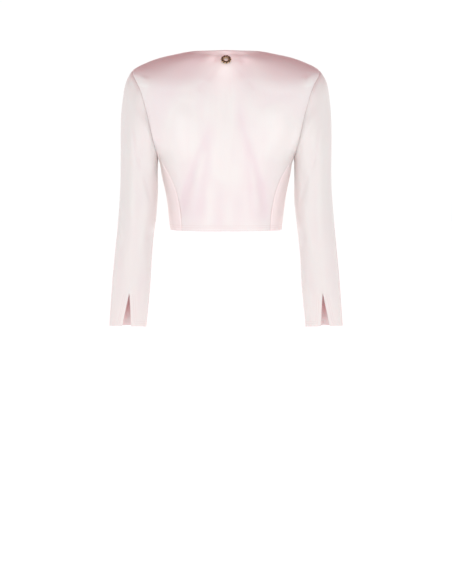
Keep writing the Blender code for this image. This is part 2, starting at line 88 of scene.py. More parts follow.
# Sleeve sections: x and z of the outer point, x and z of the inner point, half depth and centre y.
SLEEVE_SECTIONS = (
    (0.2165, -0.045, 0.1575, -0.2475, 0.06, -0.004),
    (0.2282, -0.062, 0.1578, -0.257, 0.062, -0.003),
    (0.2376, -0.096, 0.1582, -0.274, 0.0635, -0.001),
    (0.244, -0.15, 0.1587, -0.301, 0.063, 0.002),
    (0.2455, -0.225, 0.1595, -0.34, 0.061, 0.006),
    (0.246, -0.305, 0.1625, -0.378, 0.058, 0.01),
    (0.2515, -0.386, 0.168, -0.421, 0.0545, 0.01),
    (0.2605, -0.467, 0.174, -0.48, 0.049, 0.002),
    (0.2694, -0.547, 0.179, -0.55, 0.043, -0.012),
    (0.278, -0.6425, 0.189, -0.644, 0.039, -0.032),
)
SLEEVE_SQUARENESS = 2.15
CAP_SHARE = 0.42
VENT_LENGTH = 0.098
VENT_WIDTH = 0.021
VENT_ANGLE = 1.0
CUFF_DROP = 0.0070
CUFF_DROP_FROM = -0.420
CUFF_DROP_OVER = 0.2225
RING_Z = -0.0238
RING_RADIUS = 0.0085
RING_OVAL = 0.88
RING_WIRE = 0.0038
RING_FLATNESS = 0.68
RING_LOBE = 0.14

# Sewing. Seams lie in a soft ditch beside a ridge, and free edges are turned in under a facing. Each
# soft line is (height, distance from the seam or edge, width).
SEAM_GAP = 0.0001
SEAM = (-0.0004, 0.0, 0.001)
SEAM_RIDGE = (0.00045, 0.0036, 0.0017)
CAP_ROLL = (0.0005, 0.0075, 0.005)
EDGE_ROLL = (-0.0005, 0.0, 0.0012)
NECK_FLARE = (0.0017, 0.0, 0.0075)
STITCH_WIDTH = 0.0008
STITCHES = ((-0.0003, 0.0082, STITCH_WIDTH), (-0.0003, 0.0128, STITCH_WIDTH))
HEM_STEP = 0.00022
FACING_WIDTH = 0.022
FACING_THICK = 0.0005
PUCKER_HEIGHT = 0.0002
PUCKER_REACH = 0.011

# The cloth's soft swell, its wavelengths, and how far from a seam or an edge it calms down.
SWELL_HEIGHT = 0.00035
PANEL_SWELL = 0.085
SLEEVE_SWELL = 0.11
SEAM_CALM = 0.02
EDGE_CALM = (0.03, 0.35)
CUFF_CALM = (0.05, 0.3)

# The fold shading mark paints shade in the hollows of the cloth and highlight on its swells and on the
# ring's mound. It is the height in millimetres, changed by these.
FOLD_UNITS = 1000
MOUND_FOLD_UNITS = 700
# Painted light: the side panels are painted pinker, as light bounced between sleeve and trunk.
SIDE_PINK = -0.7

# Radii that lay the trunk and a sleeve out flat.
TRUNK_RADIUS = 0.16
SLEEVE_RADIUS = 0.062

# Steps of the grids: the first, the last, the widest and their growth.
ROW_STEPS = (0.0008, 0.001, 0.0036, 1.09)
BACK_COLUMN_STEPS = (0.0034, 0.0009, 0.0034)
SIDE_COLUMN_STEPS = (0.0009, 0.0009, 0.004)
FRONT_COLUMN_STEPS = (0.0009, 0.0008, 0.0036, 1.12)
ABOVE_VENT_STEPS = (0.0008, 0.003, 0.0034, 1.1)
BESIDE_VENT_STEPS = (0.0018, 0.0008, 0.0024, 1.15)
ROUND_SLEEVE_STEPS = (0.0008, 0.0008, 0.003)
ROUND_SLEEVE_LENGTH = 0.3
PATH_POINTS = 200
FAR_AWAY = 1.0

# The ring's weight pulls the cloth taut over a low mound round it: its place as (x, z), reach and height.
# The cloth is painted paler round it, below it and in the hole of the ring, as painted light.
RING_MOUND = (0.001, -0.026)
RING_MOUND_REACH = (0.022, 0.025)
RING_MOUND_HEIGHT = 0.0036
GLOW = (0.001, -0.042)
GLOW_REACH = (0.034, 0.048)

# The cloth bridges the groove between the back and the sleeve: its line as (z, x), its reach, its
# height, the levels between which it fades in and out, and where it starts towards the back.
GROOVE = ((-0.272, 0.157), (-0.25, 0.159), (-0.215, 0.168), (-0.18, 0.18), (-0.145, 0.195))
GROOVE_REACH = 0.017
GROOVE_FILL = 0.0105
GROOVE_LEVELS = (-0.3, 0.04, -0.115, 0.09)
GROOVE_BEHIND = (0.004, 0.04)

# Where the sleeve and the trunk shut each other in, as (z, x), how far that reaches, between which levels,
# how deep above the underarm, and below which height at any depth. The cloth there is painted paler, as
# painted light.
ENCLOSED = (
    (-0.41, 0.15), (-0.35, 0.153), (-0.272, 0.157), (-0.25, 0.159), (-0.18, 0.18), (-0.145, 0.195),
)
ENCLOSED_REACH = 0.023
ENCLOSED_LEVELS = (-0.47, 0.08, -0.11, 0.08)
ENCLOSED_DEEP = (0.062, 0.04)
ENCLOSED_BELOW = (-0.24, 0.07)

# Creases of the back, as lines of (x, z) seen from behind, with their width and their height.
BACK_CREASES = (
    (((-0.0088, -0.036), (-0.0105, -0.1), (-0.012, -0.175)), 0.003, -0.00036),
    (((0.003, -0.06), (0.003, -0.16), (0.002, -0.33)), 0.019, 0.0013),
    (
        ((0.036, -0.165), (0.055, -0.222), (0.075, -0.269), (0.096, -0.332), (0.101, -0.396)),
        0.0098,
        -0.0015,
    ),
    (((0.037, -0.185), (0.044, -0.25), (0.051, -0.315), (0.055, -0.395)), 0.0095, -0.0008),
    (((0.046, -0.215), (0.066, -0.29), (0.078, -0.38)), 0.0095, 0.00055),
    (((0.088, -0.12), (0.108, -0.195), (0.112, -0.262)), 0.029, 0.0024),
    (((0.07, -0.27), (0.082, -0.34), (0.086, -0.4)), 0.023, -0.00095),
    (
        ((-0.04, -0.172), (-0.055, -0.23), (-0.081, -0.308), (-0.09, -0.36), (-0.095, -0.402)),
        0.0098,
        -0.00145,
    ),
    (((-0.028, -0.11), (-0.041, -0.19), (-0.052, -0.275), (-0.06, -0.385)), 0.008, -0.0007),
    (((-0.046, -0.225), (-0.064, -0.295), (-0.074, -0.375)), 0.0095, 0.0005),
    (((-0.104, -0.115), (-0.13, -0.18), (-0.122, -0.255)), 0.029, 0.0024),
    (((-0.062, -0.29), (-0.078, -0.345), (-0.084, -0.402)), 0.023, -0.0009),
    (((-0.07, -0.099), (-0.12, -0.102), (-0.17, -0.1)), 0.009, -0.0003),
    (((0.06, -0.094), (0.112, -0.097), (0.16, -0.098)), 0.009, -0.00028),
    (((0.016, -0.0215), (0.038, -0.0235), (0.064, -0.0225)), 0.0038, -0.00055),
    (((-0.014, -0.0205), (-0.03, -0.0225), (-0.05, -0.0245)), 0.0038, -0.00055),
    (((0.014, -0.028), (0.028, -0.048), (0.043, -0.072)), 0.006, -0.0005),
    (((-0.013, -0.026), (-0.029, -0.043), (-0.044, -0.062)), 0.006, -0.0005),
    (((0.05, -0.07), (0.06, -0.082), (0.056, -0.096)), 0.006, -0.0005),
    (((-0.048, -0.066), (-0.06, -0.078), (-0.066, -0.092)), 0.006, -0.00045),
    (((0.184, -0.058), (0.188, -0.084)), 0.0105, 0.0015),
    (((-0.184, -0.058), (-0.188, -0.084)), 0.0105, 0.0015),
    (((0.008, -0.036), (0.014, -0.064)), 0.0026, -0.00032),
    (((-0.016, -0.036), (-0.02, -0.062)), 0.0026, -0.0003),
)

# Creases of the fronts, mirrored on both sides, as lines of (x, z) seen from the front.
FRONT_CREASES = (
    (((0.168, -0.15), (0.14, -0.18), (0.105, -0.2)), 0.013, -0.0013),
    (((0.158, -0.2), (0.132, -0.225), (0.108, -0.232)), 0.011, -0.001),
    (((0.13, -0.06), (0.112, -0.11), (0.098, -0.16)), 0.02, -0.0011),
    (((0.088, -0.235), (0.07, -0.3), (0.062, -0.38)), 0.015, -0.0017),
    (((0.056, -0.21), (0.046, -0.29), (0.044, -0.37)), 0.012, 0.0009),
    (((0.09, -0.17), (0.086, -0.215)), 0.03, 0.0016),
)

# Creases of a sleeve, as lines of (angle in degrees from the back, distance below the outer top).
SLEEVE_CREASES = (
    (((28, 0.07), (14, 0.12), (-8, 0.165)), 0.0095, -0.0012),
    (((-20, 0.15), (-35, 0.2), (-52, 0.235)), 0.01, -0.0012),
    (((40, 0.12), (30, 0.22), (26, 0.33)), 0.017, 0.001),
    (((5, 0.19), (0, 0.29), (-6, 0.39)), 0.012, -0.0011),
    (((-34, 0.23), (-30, 0.33), (-22, 0.42)), 0.011, 0.001),
    (((-88, 0.33), (-60, 0.345), (-34, 0.372)), 0.01, -0.0009),
    (((-92, 0.378), (-66, 0.388), (-46, 0.372)), 0.0095, -0.0007),
    (((-140, 0.33), (-175, 0.348), (-205, 0.34)), 0.013, -0.0013),
    (((-128, 0.392), (-160, 0.38), (-200, 0.395)), 0.0125, -0.0011),
    (((-120, 0.17), (-150, 0.215), (-172, 0.27)), 0.013, -0.0016),
    (((12, 0.4), (8, 0.48), (6, 0.54)), 0.013, 0.0008),
    (((42, 0.38), (36, 0.47), (40, 0.56)), 0.011, -0.0008),
    (((-40, 0.44), (-30, 0.52), (-36, 0.59)), 0.01, -0.0008),
)


def spline_through(knots, values):
    """Returns a function giving the natural cubic spline through rows of values at the knots."""
    order = np.argsort(knots)
    knots = np.asarray(knots, float)[order]
    values = np.asarray(values, float).reshape(len(knots), -1)[order]
    gaps = np.diff(knots)[:, None]
    slopes = np.diff(values, axis=0) / gaps
    system = np.eye(len(knots))
    right = np.zeros_like(values)
    for i in range(1, len(knots) - 1):
        system[i, i - 1:i + 2] = gaps[i - 1, 0], 2 * (gaps[i - 1, 0] + gaps[i, 0]), gaps[i, 0]
        right[i] = 6 * (slopes[i] - slopes[i - 1])
    bends = np.linalg.solve(system, right)

    def at(x):
        x = np.asarray(x, float)
        i = np.clip(np.searchsorted(knots, x) - 1, 0, len(knots) - 2)
        gap = gaps[i]
        past = (x - knots[i])[..., None]
        left = gap - past
        curve = (bends[i] * left**3 + bends[i + 1] * past**3) / (6 * gap)
        curve += (values[i] / gap - bends[i] * gap / 6) * left
        curve += (values[i + 1] / gap - bends[i + 1] * gap / 6) * past
        return curve

    return at


def columns_of(table):
    """The table's first column, and the rest of its columns side by side."""
    rows = np.array(table, float)
    return rows[:, 0], rows[:, 1:]


torso_at = spline_through(*columns_of(TORSO_RINGS))
armhole_at = spline_through(*columns_of(ARMHOLE))


def norm(vectors):
    """The lengths of the vectors."""
    return np.linalg.norm(vectors, axis=-1)


def unit(vectors):
    """The vectors at a length of one."""
    return vectors / np.maximum(norm(vectors)[..., None], 1e-12)


def smooth_step(x):
    """0 below 0 and 1 above 1, with a soft step between them."""
    x = np.clip(x, 0.0, 1.0)
    return x * x * (3 - 2 * x)


def squared_circle(angle, square):
    """The sine and cosine of an angle on a circle drawn out towards a square."""
    sine, cosine = np.sin(angle), np.cos(angle)
    reach = (np.abs(sine) ** square + np.abs(cosine) ** square) ** (-1 / square)
    return sine * reach, cosine * reach


def torso(angle, ring_z):
    """Points of the torso surface with no folds. The angle is in radians."""
    half_width, back_depth, front_depth, side_z, front_z, square = np.moveaxis(torso_at(ring_z), -1, 0)
    out, back = squared_circle(angle, square)
    at_back = back >= 0
    depth = np.where(at_back, back_depth, front_depth)
    centre_z = np.where(at_back, ring_z, front_z)
    level = side_z + (centre_z - side_z) * np.cos(angle) ** 2
    return np.stack([half_width * out, depth * back, level], axis=-1)


def normals_of(surface, angle, ring_z):
    """Outward unit normals of a surface given as a function of angle and ring height."""
    along_angle = surface(angle + TINY_STEP, ring_z) - surface(angle - TINY_STEP, ring_z)
    along_z = surface(angle, ring_z + TINY_STEP) - surface(angle, ring_z - TINY_STEP)
    return unit(np.cross(along_z, along_angle))


def armhole_path(shares, front):
    """(angle, ring height) along the armhole's back or front half, at shares of the way down it."""
    opening = np.radians(armhole_at(shares)[..., 1 if front else 0])
    ring_z = SHOULDER_TIP_Z + (UNDERARM_Z - SHOULDER_TIP_Z) * (1 - np.cos(np.pi * shares)) / 2
    return np.stack([np.pi / 2 + (opening if front else -opening), ring_z], axis=-1)


def angle_at(x, ring_z, front):
    """The angle at which a ring of the torso has this x."""
    ring = torso_at(ring_z)
    square = ring[..., 5]
    almost_one = 0.99999
    share = np.clip(x / ring[..., 0], 0, almost_one)
    angle = np.arctan(share / (1 - share**square) ** (1 / square))
    return np.pi - angle if front else angle


def seam_path(table, top_x, top_z, rows, front):
    """(angle, ring height) down a seam, from the hem up to its top point."""
    heights, x = columns_of(((top_z, top_x),) + table)
    ring_z = np.linspace(HEM_Z, top_z, rows + 1)
    return np.stack([angle_at(spline_through(heights, x)(ring_z)[..., 0], ring_z, front), ring_z], axis=-1)


def panel_seam(front):
    """The curved seam from the hem up to the armhole, at the back or the front."""
    top = armhole_path(np.array([PANEL_SEAM_SHARE]), front)[0]
    top_x = torso(top[0], top[1])[0]
    return seam_path(FRONT_SEAM if front else BACK_SEAM, top_x, top[1], PATH_POINTS, front)


def joined(*paths):
    """One path from several that share their end points."""
    return np.concatenate([paths[0]] + [path[1:] for path in paths[1:]])


def spread(start, end):
    """Evenly spaced places from start to end, both (angle, ring height)."""
    return np.linspace(start, end, PATH_POINTS)


def length_of(path):
    """How far along a path each of its places lies."""
    points = torso(path[:, 0], path[:, 1])
    return np.r_[0, np.cumsum(norm(np.diff(points, axis=0)))]


def at_shares(path, shares):
    """The places at these shares of a path's length."""
    lengths = length_of(path)
    return np.stack([np.interp(shares * lengths[-1], lengths, path[:, i]) for i in (0, 1)], axis=-1)


def crowded(length, first, last, widest, growth=1.25):
    """Shares from 0 to 1 of a length, with steps of first at its start and last at its end."""
    near, far = [0.0], [0.0]
    steps = [first, last]
    while near[-1] + far[-1] < length:
        side = int(steps[0] > steps[1])
        (near, far)[side].append((near, far)[side][-1] + steps[side])
        steps[side] = min(steps[side] * growth, widest)
    total = near[-1] + far[-1]
    return np.unique(np.round(np.r_[np.array(near) / total, 1 - np.array(far) / total], 9))


def ring_reach(ring_z):
    """Roughly how far one radian goes round a ring, so that a panel can be laid out flat."""
    ring = torso_at(ring_z)
    width_share, depth_share = 0.62, 0.25
    return ring[..., 0] * width_share + ring[..., 1] * depth_share


def filled(bottom, top, left, right, columns, rows, middle):
    """A grid of places between four edge paths: rows run from bottom to top, columns left to right."""
    flat = []
    for path, shares in ((bottom, columns), (top, columns), (left, rows), (right, rows)):
        path = at_shares(path, shares)
        flat.append(np.stack([(path[:, 0] - middle) * ring_reach(path[:, 1]), path[:, 1]], axis=-1))
    bottom, top, left, right = flat
    rows, columns = rows[:, None, None], columns[None, :, None]
    grid = (1 - rows) * bottom + rows * top + (1 - columns) * left[:, None] + columns * right[:, None]
    grid -= (1 - rows) * ((1 - columns) * bottom[0] + columns * bottom[-1])
    grid -= rows * ((1 - columns) * top[0] + columns * top[-1])
    return np.stack([middle + grid[..., 0] / ring_reach(grid[..., 1]), grid[..., 1]], axis=-1)


def distance_in(points, axis, from_end):
    """How far each point of a grid lies from its first or last row (axis 0) or column (axis 1)."""
    steps = norm(np.diff(points, axis=axis))
    zero = np.zeros_like(np.take(steps, [0], axis=axis))
    if from_end:
        steps = np.flip(steps, axis)
    far = np.concatenate([zero, np.cumsum(steps, axis=axis)], axis=axis)
    return np.flip(far, axis) if from_end else far


def from_sides(points):
    """How far each point of a grid lies from the nearer of its two side edges."""
    return np.minimum(distance_in(points, 1, False), distance_in(points, 1, True))


def crease_height(flat, creases):
    """How far crease lines lift a cloth whose points are given flat, as (across, down)."""
    height = np.zeros(flat.shape[:-1])
    thin_share, end_height = 0.28, 0.12
    for line, width, lift in creases:
        line = np.array(line)
        pieces = norm(np.diff(line, axis=0))
        starts = np.r_[0, np.cumsum(pieces)]
        nearest = np.full(flat.shape[:-1], np.inf)
        along = np.zeros(flat.shape[:-1])
        for start, end, length, before in zip(line[:-1], line[1:], pieces, starts):
            share = np.clip((flat - start) @ (end - start) / length**2, 0, 1)
            away = norm(flat - start - share[..., None] * (end - start))
            along = np.where(away < nearest, (before + share * length) / starts[-1], along)
            nearest = np.minimum(nearest, away)
        thinning = smooth_step(np.minimum(along, 1 - along) / thin_share + end_height)
        height += lift * thinning * np.exp(-((nearest / width) ** 2))
    return height


def bump_at(points, place, reach):
    """A soft bump of the back round a place given as (x, z), from 0 to 1."""
    across = (points[..., 0] - place[0]) / reach[0]
    down = (points[..., 2] - place[1]) / reach[1]
    return np.exp(-across * across - down * down)


def ring_mound(points):
    """The height of the mound that the ring sits on."""
    return RING_MOUND_HEIGHT * bump_at(points, RING_MOUND, RING_MOUND_REACH)


def glow(points):
    """How much painted light makes the cloth paler round the ring, below it and in its hole, from 0 to 1.
    """
    hole_share = 0.5
    from_hole = (points[..., 0] ** 2 + (points[..., 2] - RING_Z) ** 2) / RING_RADIUS**2
    return np.minimum(bump_at(points, GLOW, GLOW_REACH) + hole_share * np.exp(-from_hole), 1.0)


def near_line(points, line, reach, levels):
    """How near points are to a line of (z, x) on either side, from 0 to 1.

    levels are the lowest height, how far it fades in above that, the highest and its fading.
    """
    line = np.array(line)
    middle = np.interp(points[..., 2], line[:, 0], line[:, 1])
    near = np.exp(-(((np.abs(points[..., 0]) - middle) / reach) ** 2))
    low, fade_in, high, fade_out = levels
    near = near * smooth_step((points[..., 2] - low) / fade_in)
    return near * smooth_step((high - points[..., 2]) / fade_out)


def enclosed(points):
    """How far the sleeve and the trunk shut a point in, from 0 to 1."""
    deep = smooth_step((ENCLOSED_DEEP[0] - np.abs(points[..., 1])) / ENCLOSED_DEEP[1])
    low = smooth_step((ENCLOSED_BELOW[0] - points[..., 2]) / ENCLOSED_BELOW[1])
    return near_line(points, ENCLOSED, ENCLOSED_REACH, ENCLOSED_LEVELS) * np.maximum(deep, low)


def groove_filled(points):
    """The points with the groove above the underarm made shallower, on both sides of the back."""
    behind = smooth_step((points[..., 1] - GROOVE_BEHIND[0]) / GROOVE_BEHIND[1])
    moved = points.copy()
    moved[..., 1] += GROOVE_FILL * near_line(points, GROOVE, GROOVE_REACH, GROOVE_LEVELS) * behind
    return moved


def ripple(across, down, seed, wavelength):
    """A soft uneven swell of the cloth: a few plane waves in directions near the warp."""
    draw = np.random.default_rng(seed)
    total = np.zeros(across.shape)
    waves, widest_turn, smallest, largest, usual_sum = 7, 0.55, 0.7, 1.5, 2.6
    for _ in range(waves):
        turn = draw.normal(0, widest_turn)
        size = wavelength * draw.uniform(smallest, largest)
        phase = draw.uniform(0, 2 * np.pi)
        total += np.sin((across * math.cos(turn) + down * math.sin(turn)) * 2 * np.pi / size + phase)
    return total * SWELL_HEIGHT / usual_sum


def pucker(along, away, seed):
    """Small uneven ripples that a seam draws into the cloth beside it."""
    draw = np.random.default_rng(seed)
    total = np.zeros(np.broadcast(along, away).shape)
    smallest, largest, whole_turn, usual_sum = 0.9, 1.15, 6.3, 2.5
    for wavelength in (0.0085, 0.0125, 0.019, 0.031):
        turns = along * 2 * np.pi / wavelength / draw.uniform(smallest, largest)
        total = total + np.sin(turns + draw.uniform(0, whole_turn))
    return total / usual_sum * PUCKER_HEIGHT * np.exp(-away / PUCKER_REACH)


def soft_line(away, line):
    """The height beside a soft line, given as (height, place, width)."""
    height, place, width = line
    return height * np.exp(-(((away - place) / width) ** 2))


def edge_height(away):
    """The turned edge: it rolls over, and its two stitch lines sink in a little."""
    height = soft_line(away, EDGE_ROLL)
    for line in STITCHES:
        height += soft_line(away, line)
    step_width = 0.0015
    return height + HEM_STEP * smooth_step((STITCHES[-1][1] - away) / step_width)


def facing_height(edge):
    """How much the facing behind a free edge thickens the cloth."""
    step_width, edge_width, edge_share = 0.0012, 0.001, 0.3
    start = smooth_step(edge / edge_width + edge_share)
    return FACING_THICK * smooth_step((FACING_WIDTH - edge) / step_width) * start


def wall(name, outside, inside, marks, closed_rows=None):
    """A closed wall between two grids. closed_rows is how many rows have their two side edges joined."""
    rows, columns = outside.shape[:2]
    count = rows * columns
    numbers = np.arange(count).reshape(rows, columns)
    if closed_rows:
        numbers[:closed_rows, -1] = numbers[:closed_rows, 0]
    skin = np.stack(
        [numbers[:-1, :-1], numbers[:-1, 1:], numbers[1:, 1:], numbers[1:, :-1]], axis=-1
    ).reshape(-1, 4)
    if closed_rows:
        slit = closed_rows - 1
        rims = (
            numbers[0, ::-1],
            np.concatenate([numbers[slit:, 0], numbers[-1, 1:], numbers[-2:slit - 1:-1, -1]]),
        )
    else:
        rims = (np.concatenate([numbers[:, 0], numbers[-1, 1:], numbers[-2::-1, -1], numbers[0, -2::-1]]),)
    faces = [skin, skin[:, ::-1] + count]
    for rim in rims:
        faces.append(np.stack([rim[:-1], rim[1:], rim[1:] + count, rim[:-1] + count], axis=-1))
    kinds = np.concatenate([np.full(len(f), int(i == 1)) for i, f in enumerate(faces)])
    faces = np.concatenate(faces)
    points = groove_filled(np.concatenate([outside.reshape(-1, 3), inside.reshape(-1, 3)]))
    used = np.unique(faces)
    renumber = np.zeros(len(points), int)
    renumber[used] = np.arange(len(used))
    mesh = bpy.data.meshes.new(name)
    mesh.from_pydata(points[used].tolist(), [], renumber[faces].tolist())
    turn_outwards(mesh, points[used], renumber[faces])
    mesh.polygons.foreach_set("material_index", kinds.astype(np.int32))
    cloth = np.concatenate([marks["cloth"].reshape(-1, 2)] * 2)
    loops = np.empty(len(mesh.loops), np.int32)
    mesh.loops.foreach_get("vertex_index", loops)
    mesh.uv_layers.new(name="UVMap").data.foreach_set("uv", cloth[used][loops].astype(np.float32).ravel())
    for key in ("seam", "edge", "fold_shading", "painted_light"):
        values = np.concatenate([marks[key].reshape(-1)] * 2)[used]
        mesh.attributes.new(key, "FLOAT", "POINT").data.foreach_set("value", values.astype(np.float32))
    mesh.shade_smooth()
    return mesh


def turn_outwards(mesh, points, faces):
    """Flips every face if the wall's volume comes out negative."""
    corners = points[faces]
    volume = 0.0
    for a, b, c in ((0, 1, 2), (0, 2, 3)):
        volume += np.einsum("ij,ij->i", corners[:, a], np.cross(corners[:, b], corners[:, c])).sum()
    if volume < 0:
        mesh.flip_normals()


def drawn_in(points, normals, edges, gap):
    """A grid with its named edges moved square into it by the gap."""
    moved = points.copy()
    for axis, end in edges:
        index = [slice(None), slice(None)]
        index[axis] = end
        index = tuple(index)
        along = unit(np.gradient(points, axis=1 - axis))[index]
        inwards = np.gradient(points, axis=axis)[index] * (1 if end == 0 else -1)
        across = unit(np.cross(normals[index], along)) * gap
        moved[index] += across * np.sign(np.sum(across * inwards, axis=-1, keepdims=True))
    return moved


def mirrored(grid, vectors=True):
    """A grid of the left side as one of the right side."""
    flipped = grid[:, ::-1]
    return flipped * (-1, 1, 1) if vectors else flipped


def add_piece(name, mesh, materials, nodes):
    """A piece of the jacket, which stands for nodes of the solids."""
    piece = bpy.data.objects.new(name, mesh)
    for material in materials:
        mesh.materials.append(material)
    bpy.context.scene.collection.objects.link(piece)
    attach(piece, "root")
    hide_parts(*nodes)
    return piece


def widest_level(grid):
    """The longest line that level planes draw across a cloth, whose points are given row by row."""
    here, there = grid[:-1], grid[1:]
    widest, planes = 0.0, 240
    for level in np.linspace(grid[..., 2].min(), grid[..., 2].max(), planes + 2)[1:-1]:
        crossed = (here[..., 2] - level) * (there[..., 2] - level) < 0
        columns = np.flatnonzero(crossed.any(0))
        rows = crossed.argmax(0)[columns]
        start, end = here[rows, columns], there[rows, columns]
        share = (level - start[:, 2]) / (end[:, 2] - start[:, 2])
        line = start + (end - start) * share[:, None]
        steps = norm(np.diff(line, axis=0))
        widest = max(widest, steps[np.diff(columns) == 1].sum())
    return widest


def upright_length(grid):
    """The length of a cloth's longest column of points, less how far the column leans sideways."""
    steps = np.diff(grid, axis=0)
    beside = np.gradient(grid, axis=1)[:-1]
    level = unit(np.cross(np.cross(beside, steps), (0.0, 0.0, 1.0)))
    sideways = (steps * level).sum(-1)
    return np.sqrt(np.maximum((steps**2).sum(-1) - sideways**2, 0.0)).sum(0).max()


def sheet_sizes(outside):
    """The flat width, length and area of a cloth wall, measured on its outer face."""
    across, down = widest_level(outside), upright_length(outside)
    a, b, c, d = outside[:-1, :-1], outside[:-1, 1:], outside[1:, 1:], outside[1:, :-1]
    area = norm(np.cross(b - a, c - a)).sum() + norm(np.cross(c - a, d - a)).sum()
    return round(float(across), 3), round(float(down), 3), float(area) / 2


def back_places():
    """One half of the back, from the centre back out to its seams.

    Also gives its column shares, and the neck's share of its top.
    """
    outer = joined(panel_seam(False), armhole_path(np.linspace(PANEL_SEAM_SHARE, 0, PATH_POINTS), False))
    centre = spread((0.0, HEM_Z), (0.0, NECK_Z))
    neck = spread((0.0, NECK_Z), (np.pi / 2, NECK_Z))
    shoulder = spread((np.pi / 2, NECK_Z), (np.pi / 2, SHOULDER_TIP_Z))
    top = joined(neck, shoulder)
    hem = spread(centre[0], outer[0])
    columns = crowded(length_of(top)[-1], *BACK_COLUMN_STEPS)
    rows = crowded(length_of(outer)[-1], *ROW_STEPS)
    neck_share = length_of(neck)[-1] / length_of(top)[-1]
    return filled(hem, top, centre, outer, columns, rows, 0.0), columns, neck_share


def side_places():
    """The side panel, from the back seam round to the front seam, under the armhole."""
    back, front = panel_seam(False), panel_seam(True)
    shares = np.linspace(PANEL_SEAM_SHARE, 1, PATH_POINTS)
    top = joined(armhole_path(shares, False), armhole_path(shares[::-1], True))
    hem = spread(back[0], front[0])
    columns = crowded(length_of(hem)[-1], *SIDE_COLUMN_STEPS)
    rows = crowded(length_of(back)[-1], *ROW_STEPS)
    return filled(hem, top, back, front, columns, rows, np.pi / 2)


def front_places():
    """One front, from its outer seams to the open edge. Its top row is the shoulder seam."""
    outer = joined(panel_seam(True), armhole_path(np.linspace(PANEL_SEAM_SHARE, 0, PATH_POINTS), True))
    edge = seam_path(FRONT_EDGE, TORSO_RINGS[0][1], NECK_Z, 2 * PATH_POINTS, True)
    hem = spread(outer[0], edge[0])
    shoulder = spread((np.pi / 2, SHOULDER_TIP_Z), (np.pi / 2, NECK_Z))
    columns = crowded(length_of(shoulder)[-1], *FRONT_COLUMN_STEPS)
    rows = crowded(length_of(edge)[-1], *ROW_STEPS)
    return filled(hem, shoulder, outer, edge, columns, rows, np.pi)


def panel_shell(name, places, seams, edges, creases, side, seed, lift=None):
    """One panel's mesh and the grid of its outer face.

    seams and edges give how far each point is from a seam and from a free edge. lift, where there is
    one, adds to the cloth's height.
    """
    angle, ring_z = places[..., 0], places[..., 1]
    points, normals = torso(angle, ring_z), normals_of(torso, angle, ring_z)
    if side == "both":
        points = np.concatenate([mirrored(points), points[:, 1:]], axis=1)
        normals = np.concatenate([mirrored(normals), normals[:, 1:]], axis=1)
    elif side == "right":
        points, normals = mirrored(points), mirrored(normals)
    seam, edge = seams(points), edges(points)
    flat = np.stack([points[..., 0], points[..., 2]], axis=-1)
    if creases is FRONT_CREASES:
        flat = np.abs(flat) * (1, -1)
    around = np.arctan2(points[..., 0], points[..., 1]) * TRUNK_RADIUS
    height = crease_height(flat, creases) if creases else 0.0
    calm = smooth_step(np.minimum(seam, edge) / SEAM_CALM)
    height = height + ripple(around, points[..., 2], seed, PANEL_SWELL) * calm
    height = height + pucker(points[..., 2] + around, seam, seed + 1)
    height = height * smooth_step(edge / EDGE_CALM[0] + EDGE_CALM[1])
    # The folds' heights paint shade in the hollows and highlight on the swells.
    fold_shading = np.broadcast_to(height, seam.shape) * FOLD_UNITS
    height = height + soft_line(seam, SEAM) + edge_height(edge)
    if lift:
        height = height + lift(points)
        # The ring's mound gets painted highlight too.
        fold_shading = fold_shading + ring_mound(points) * MOUND_FOLD_UNITS
    if not creases:
        height = height + soft_line(from_sides(points), SEAM_RIDGE)
        # Painted light: the side panels are painted pinker, as light bounced between sleeve and trunk.
        fold_shading = fold_shading + SIDE_PINK
    # Painted light: the cloth is painted paler where the sleeve and trunk shut it in, and round the ring.
    painted_light = np.maximum(enclosed(points), glow(points) if lift else 0.0)
    gaps = ((1, 0), (1, -1)) if creases is not FRONT_CREASES else ((1, 0), (1, -1), (0, -1))
    outside = drawn_in(points + normals * height[..., None], normals, gaps, SEAM_GAP / 2)
    inside = outside - normals * (CLOTH_WALL + facing_height(edge))[..., None]
    cloth = np.stack([around, points[..., 2]], axis=-1)
    marks = {"cloth": cloth, "seam": seam, "edge": edge, "fold_shading": fold_shading, "painted_light": painted_light}
    return wall(name, outside, inside, marks), outside


def sleeve_sections_at(shares):
    """The sleeve's section sizes at shares of its length, 0 at the armhole and 1 at the cuff."""
    rows = np.array(SLEEVE_SECTIONS)
    centres = np.stack([rows[:, 0] + rows[:, 2], rows[:, 1] + rows[:, 3]], axis=-1) / 2
    lengths = np.r_[0, np.cumsum(norm(np.diff(centres, axis=0)))]
    return np.moveaxis(spline_through(lengths / lengths[-1], rows)(shares), -1, 0)


def section_points(angle, sizes):
    """Points round sleeve sections: angle 0 is the back, 90 the outside, -90 the inside."""
    outer_x, outer_z, inner_x, inner_z, half_depth, centre_y = sizes
    out, back = squared_circle(angle, SLEEVE_SQUARENESS)
    drop = CUFF_DROP * smooth_step((CUFF_DROP_FROM - outer_z) / CUFF_DROP_OVER) * (1 - back) / 2
    return np.stack(
        [
            (outer_x + inner_x) / 2 + (outer_x - inner_x) / 2 * out,
            centre_y + half_depth * back,
            (outer_z + inner_z) / 2 + (outer_z - inner_z) / 2 * out - drop,
        ],
        axis=-1,
    )


def armhole_points(angle):
    """Points and torso normals round the armhole, by the sleeve's angle."""
    turned = (np.degrees(angle) + 90) % 360 - 90
    front = turned > 90
    share = np.where(front, (turned - 90) / 180, (90 - turned) / 180)
    path = np.where(front[..., None], armhole_path(share, True), armhole_path(share, False))
    return torso(path[..., 0], path[..., 1]), normals_of(torso, path[..., 0], path[..., 1])


